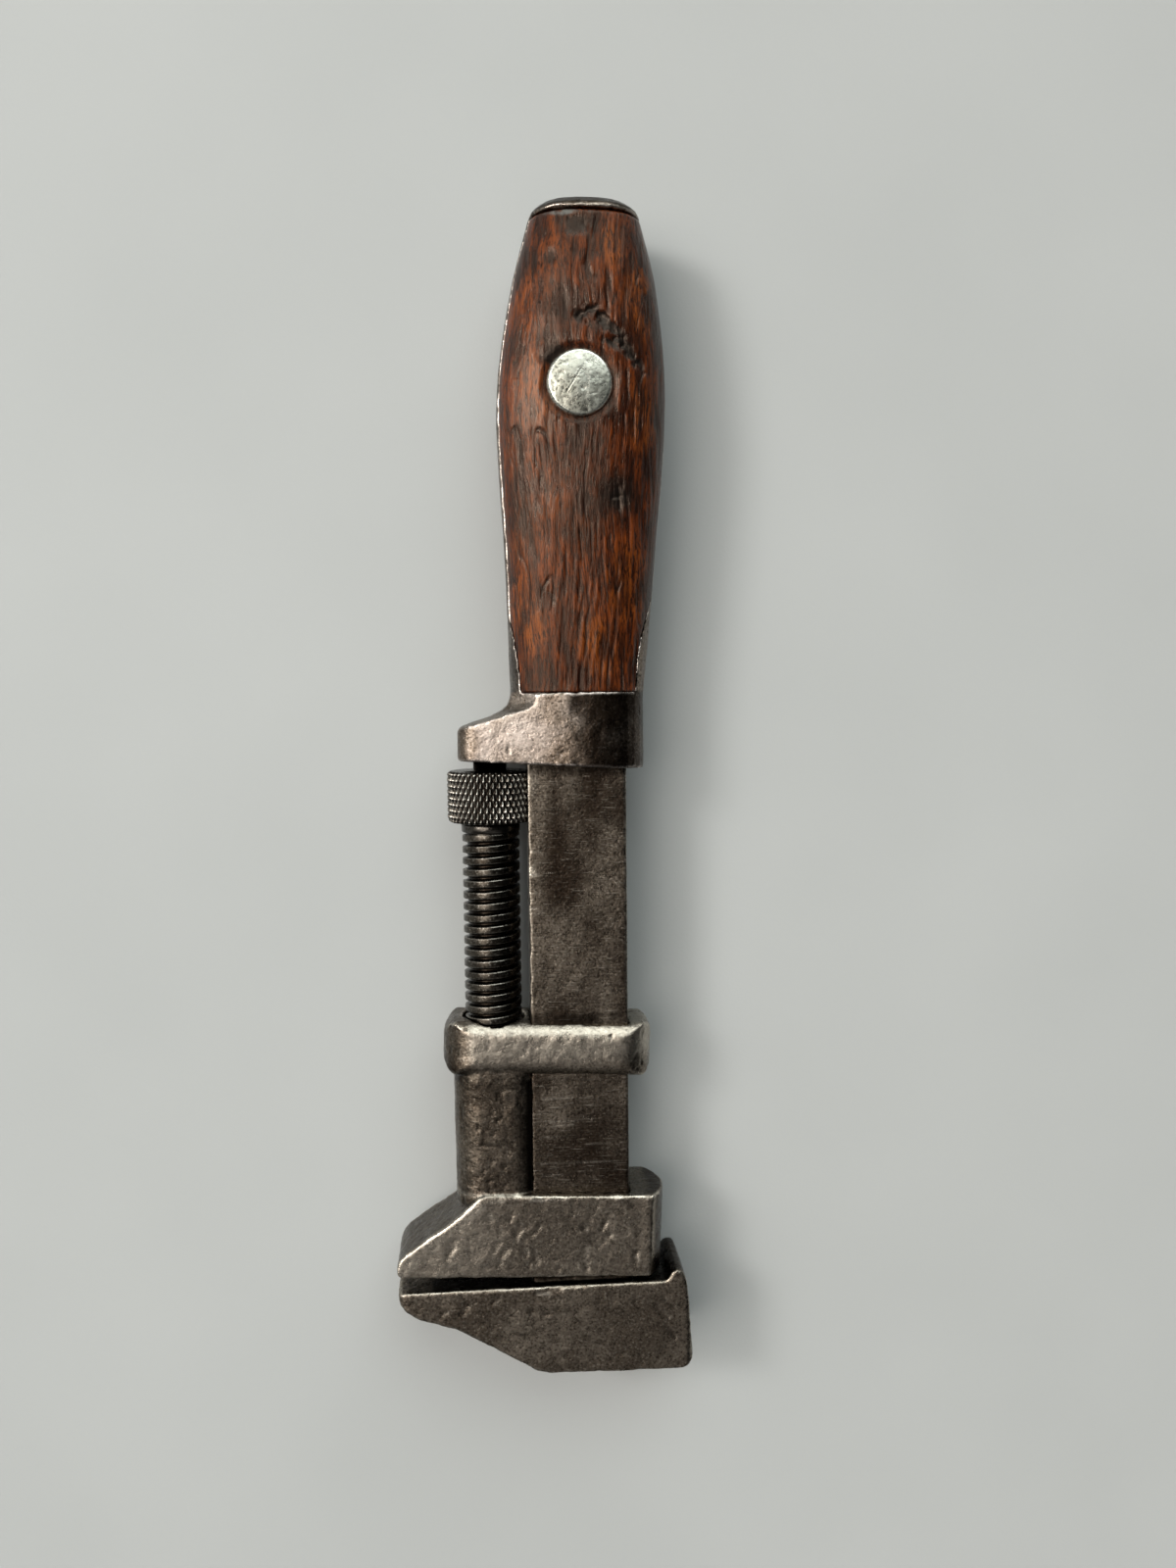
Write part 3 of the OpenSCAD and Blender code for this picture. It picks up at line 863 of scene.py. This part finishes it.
# Damage on the front: the knot, the chewed line above the rivet, dents, filler and dark stains
DAMAGE = [
    spot(6.8, 45.2, 6.4, 5.6, 0.10, 0.95),
    spot(6.8, 45.0, 2.8, 2.6, 0.12, 1.2),
    split([(6.7, 46.8), (6.9, 43.2)], 0.45, 0.22),
    split([(5.8, 45.0), (7.8, 45.2)], 0.4, 0.2),
    split([(0.4, 73.8), (2.2, 75.0), (4.2, 74.2)], 1.6, 0.45, 1.5),
    split([(4.0, 73.2), (6.6, 71.4)], 1.8, 0.50, 1.5),
    split([(6.4, 70.3), (8.4, 68.8), (10.0, 66.4)], 1.3, 0.40, 1.3),
    split([(4.6, 70.0), (6.8, 69.0)], 0.9, 0.25, 1.2),
    spot(-3.9, 83.3, 1.1, 2.4, 0.2, 0.9),
    spot(-3.4, 67.6, 4.2, 2.6, 0.25, 1.1),
    spot(5.6, 60.5, 1.2, 3.0, 0.15, 0.8),
    spot(0.3, 88.9, 3.2, 2.6, 0.25, 0.95),
    spot(-1.6, 90.6, 3.4, 0.7, 0.2, 0.4, putty=0.9),
    spot(1.8, 51.0, 5.0, 8.0, 0.05, 0.65),
    spot(0.6, 42.0, 4.5, 7.0, 0.05, 0.60),
    spot(-3.0, 74.0, 3.5, 8.0, 0.05, 0.50),
    spot(-9.6, 42.0, 3.0, 8.0, 0.05, 0.45),
    spot(-8.5, 84.0, 3.0, 6.0, 0.05, 0.5),
    spot(-7.0, 16.0, 4.0, 4.0, 0.05, 0.5),
]
# Orange, thinly stained places: centre and half size
WARM = [(10.5, 77, 4, 9), (8.2, 31, 5, 9), (10.8, 58, 3.5, 8), (-7.5, 24, 3, 7), (3, 22, 4, 5), (6, 85, 3, 5)]


def scale_top():
    """Smooth outer face of a scale, as points in rows from the bolster to the butt."""
    y = np.linspace(*WOOD, SCALE_ROWS)
    centre, half, depth = curve(CENTRE_LINE, y), curve(HALF_WIDTH, y), curve(HALF_DEPTH, y)
    reach = half * (1 - (CORE / depth) ** SECTION_POWER) ** (1 / SECTION_POWER) - 0.22
    left = np.maximum(centre - reach + 0.12, straight(LEFT_EAR, y) + 0.08)
    right = np.minimum(centre + reach, straight(RIGHT_EAR, y) - 0.08)
    across = 0.5 - 0.5 * np.cos(np.linspace(0, math.pi, SCALE_COLUMNS))  # closer together at the edges
    across = 0.6 * across + 0.4 * np.linspace(0, 1, SCALE_COLUMNS)
    x = left[:, None] + (right - left)[:, None] * across
    inside = np.clip(1 - np.abs((x - centre[:, None]) / half[:, None]) ** SECTION_POWER, 0, 1)
    z = np.maximum(depth[:, None] * inside ** (1 / SECTION_POWER) - 0.05, CORE + 0.05)
    return np.stack([x, np.repeat(y[:, None], SCALE_COLUMNS, 1), z], 2).reshape(-1, 3)


def wood_relief(top, seed):
    """Height of grain, ridges, waves and cracks, with the valleys and the cracks by themselves."""
    swirl = top.copy()
    swirl[:, 0] += 1.6 * lattice(top, (9, 22, 9), seed + 3) + 0.5 * lattice(top, (3, 7, 4), seed + 4)
    rough = smoothstep(-0.5, 0.5, lattice(top, (6, 11, 6), seed + 8))
    crown = smoothstep(1.0, 0.45, oval(top, 1.8, 79, 7, 11))
    rough = np.maximum(rough, 1.5 * crown)
    grain = layered(swirl, (0.5, 6, 2.5), seed, 2)
    ridge = layered(swirl, (0.62, 4.5, 2.5), seed + 5, 2)
    wave = layered(top, 9, seed + 9, 2)
    cracks = smoothstep(0.12, 0.0, np.abs(lattice(swirl, (1.3, 8, 4), seed + 6)))
    cracks *= smoothstep(0.15, 0.6, lattice(top, (4, 8, 5), seed + 7))
    height = 0.03 * grain + (0.02 + 0.085 * rough) * ridge + 0.12 * wave - 0.16 * cracks
    valley = smoothstep(0.05, -0.7, ridge + 0.4 * grain) * (0.35 + 0.65 * np.minimum(rough, 1))
    return height, valley, cracks


def delete_loose(bm):
    bmesh.ops.delete(bm, geom=[v for v in bm.verts if not v.link_faces], context="VERTS")


def close_scale(name, top, side):
    """Shell from the outer face down to the steel core. side is 1 for the front, -1 for the back."""
    low = top.copy()
    low[:, 2] = CORE
    points = np.concatenate([top, low])
    points[:, 2] *= side
    count = len(top)
    index = np.arange(count).reshape(SCALE_ROWS, SCALE_COLUMNS)
    rim = np.concatenate([index[0, :], index[1:, -1], index[-1, -2::-1], index[-2:0:-1, 0]])
    after = np.roll(rim, -1)
    faces = quads(index[:-1, :-1], index[:-1, 1:], index[1:, 1:], index[1:, :-1])
    faces += quads(rim, rim + count, after + count, after)
    faces.append((rim + count).tolist())
    obj = build(name, points, faces)
    edit(obj.data, delete_loose)
    edit(obj.data, face_outward)
    return obj


def make_scale(name, side, seed, node):
    top = scale_top()
    height, valley, cracks = wood_relief(top, seed)
    from_rivet = np.hypot(top[:, 0] - RIVET[0], top[:, 1] - RIVET[1])
    hollow = 0.5 * smoothstep(RIVET_R + 1.4, RIVET_R - 0.1, from_rivet)
    dark = np.maximum(0.6 * smoothstep(RIVET_R + 1.6, RIVET_R - 0.2, from_rivet), 0.7 * cracks)
    # Painted shade on the right flank.
    dark = np.maximum(dark, 0.4 * smoothstep(7.5, 13.0, top[:, 0]))  # right flank
    putty = np.zeros(len(top))
    for damage in DAMAGE if side > 0 else ():
        depth, burn, filler = damage(top)
        hollow += depth
        dark = np.maximum(dark, burn)
        putty = np.maximum(putty, filler)
    warm = np.max([smoothstep(1.0, 0.3, oval(top, *place)) for place in WARM], axis=0)
    edge = np.minimum(WOOD[1] - top[:, 1], 0.6) / 0.6  # 0 at the butt
    top[:, 2] += (height - hollow) * np.clip(edge + 0.2, 0, 1) - 0.35 * (1 - edge) ** 2
    obj = close_scale(name, top, side)
    mesh = obj.data
    under = np.zeros(len(mesh.vertices) - len(top))
    for colour, values in (("dark", dark), ("putty", putty), ("warm", warm), ("valley", valley)):
        paint(mesh, colour, np.concatenate([values, under]))
    for polygon in mesh.polygons:
        polygon.use_smooth = len(polygon.vertices) == 4
    dress(obj, WOOD_LOOK, "frame", node)


# ---------------------------------------------------------------- rivet and journal pin

def make_rivet():
    """Two domed heads on a shank, with fine dents and one scratch."""
    steps, rings = 128, 44
    angle = np.arange(steps) * 2 * math.pi / steps
    rows = [(RIVET_R * t, RIVET_TOP - 0.42 * t**2.2 - 0.5 * max(0, (t - 0.9) / 0.1) ** 2)
            for t in np.linspace(0.02, 1, rings)]
    under = RIVET_TOP - 1.3
    rows += [(RIVET_R, under), (RIVET_SHANK_R, under)]
    head = np.concatenate([np.stack([r * np.cos(angle), r * np.sin(angle), np.full(steps, z)], 1)
                           for r, z in rows])
    domed = np.repeat(np.array([1.0] * rings + [0.0, 0.0]), steps)
    x, y = head[:, 0], head[:, 1]
    dents = 0.022 * layered(head, 1.2, 5, 3) + 0.035 * smoothstep(0.35, 0.8, lattice(head, 0.8, 8))
    scratch = smoothstep(0.12, 0.0, np.abs(x * 0.84 - y * 0.54 + 0.9))
    dents += 0.05 * scratch * smoothstep(2.6, 1.8, np.hypot(x + 1.0, y))
    head[:, 2] -= domed * (dents + 0.02)
    front = head.reshape(-1, steps, 3)
    shell = np.concatenate([front, front[::-1] * (1, 1, -1)])
    middle = np.array([*RIVET, 0])
    pole = np.array([0, 0, RIVET_TOP - 0.05])
    obj = closed_tube("through_rivet", shell + middle, [middle + pole, middle - pole])
    mesh = obj.data
    shape = bend(mesh, 1)
    x, y = (points_of(mesh) - middle)[:, :2].T
    paint(mesh, "wear_and_glint", smoothstep(0.02, 0.3, shape))
    paint(mesh, "grime_and_shade", smoothstep(0.05, 0.4, -shape))
    paint(mesh, "tone", 0.70 - 0.3 * smoothstep(-1.0, 4.5, -x - 0.6 * y))
    shade_smooth(mesh)
    dress(obj, BRIGHT, "frame", "handle_rivet")


def oil_pin():
    """The journal pin is shown as the CAD has it, in oiled steel."""
    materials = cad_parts["journal_pin"].data.materials
    materials.clear()
    materials.append(OILED)


make_bar()
make_sliding_jaw()
make_handle_frame()
make_screw()
make_rivet()
make_scale("wood_scale_front", 1, 51, "front_scale")
make_scale("wood_scale_back", -1, 61, "back_scale")
oil_pin()


# ---------------------------------------------------------------- camera, floor and light

def look_from(place, right, up, back, lens):
    """Camera at place, with its own axes right, up and back."""
    camera = link(bpy.data.objects.new("camera", bpy.data.cameras.new("camera")))
    camera.data.sensor_fit = "AUTO"
    camera.data.sensor_width = 36
    camera.data.lens = lens
    camera.data.clip_start = 0.01
    axes = Matrix((right, up, back)).transposed()
    camera.matrix_world = Matrix.Translation(place) @ axes.to_4x4()
    bpy.context.scene.camera = camera


def make_floor():
    bpy.ops.mesh.primitive_plane_add(size=3, location=(0, 0, 0))
    floor = bpy.context.object
    floor.name = "floor"
    n = Nodes("floor_cloth")
    tone = n.mix(n.noise(60, 2), rgb(0.36, 0.375, 0.375), rgb(0.41, 0.425, 0.425))
    floor.data.materials.append(n.surface(tone, 0.9, n.bump(n.noise(0.6, 2), 0.1, 0.2)))


def lamp(name, place, target, size, power, colour):
    data = bpy.data.lights.new(name, "AREA")
    data.shape = "RECTANGLE"
    data.size, data.size_y = size
    data.energy = power
    data.color = colour
    obj = link(bpy.data.objects.new(name, data))
    obj.location = place
    obj.rotation_euler = (Vector(target) - Vector(place)).to_track_quat("-Z", "Y").to_euler()


def soft_light(tree, direction, start, full, colour):
    """One broad soft light: it fades in as the cosine to `direction` goes from start to full."""
    ray = tree.nodes.new("ShaderNodeTexCoord")
    dot = tree.nodes.new("ShaderNodeVectorMath")
    dot.operation = "DOT_PRODUCT"
    dot.inputs[1].default_value = Vector(direction).normalized()
    tree.links.new(ray.outputs["Generated"], dot.inputs[0])
    fade = tree.nodes.new("ShaderNodeMapRange")
    fade.interpolation_type = "SMOOTHSTEP"
    fade.inputs["From Min"].default_value = start
    fade.inputs["From Max"].default_value = full
    tree.links.new(dot.outputs["Value"], fade.inputs["Value"])
    tint = tree.nodes.new("ShaderNodeVectorMath")
    tint.operation = "SCALE"
    tint.inputs[0].default_value = colour
    tree.links.new(fade.outputs["Result"], tint.inputs["Scale"])
    return tint.outputs[0]


def studio(lights, ambient):
    """World made of soft lights added to an even ambient colour."""
    world = bpy.data.worlds.new("studio")
    bpy.context.scene.world = world
    world.use_nodes = True
    tree = world.node_tree
    total = None
    for light in lights:
        add = tree.nodes.new("ShaderNodeVectorMath")
        tree.links.new(soft_light(tree, *light), add.inputs[0])
        if total is None:
            add.inputs[1].default_value = ambient
        else:
            tree.links.new(total, add.inputs[1])
        total = add.outputs[0]
    tree.links.new(total, tree.nodes["Background"].inputs["Color"])


# The camera's place is in drawing millimetres. Floor and lamp are in metres, in the part's frame.
look_from(
    (Vector((-14.107, 13.309, 201.6)) + Vector(ORIGIN)) * MM,
    right=(0.99675, -0.00956, 0.08000),
    up=(0.01592, 0.99674, -0.07915),
    back=(-0.07898, 0.08017, 0.99365),
    lens=26.55,
)
make_floor()
studio(
    [
        ((-0.56, 0.14, 0.82), 0.87, 0.97, (4.6, 4.3, 4.0)),
        ((-0.95, 0.1, 0.35), 0.60, 0.95, (0.3, 0.3, 0.28)),
        ((0.12, 0.80, 0.59), 0.84, 0.96, (3.4, 3.6, 3.5)),
        ((0.05, -0.66, 0.75), 0.80, 0.97, (0.30, 0.29, 0.28)),
        ((0, 0, -1), -0.22, -0.03, (0.20, 0.21, 0.21)),
    ],
    ambient=(0.020, 0.021, 0.021),
)
lamp("key", (-0.62, 0.30, 0.62), (0, 0, 0), size=(0.20, 0.20), power=4.0, colour=(1.0, 0.98, 0.94))
bpy.context.scene.view_settings.view_transform = "Standard"
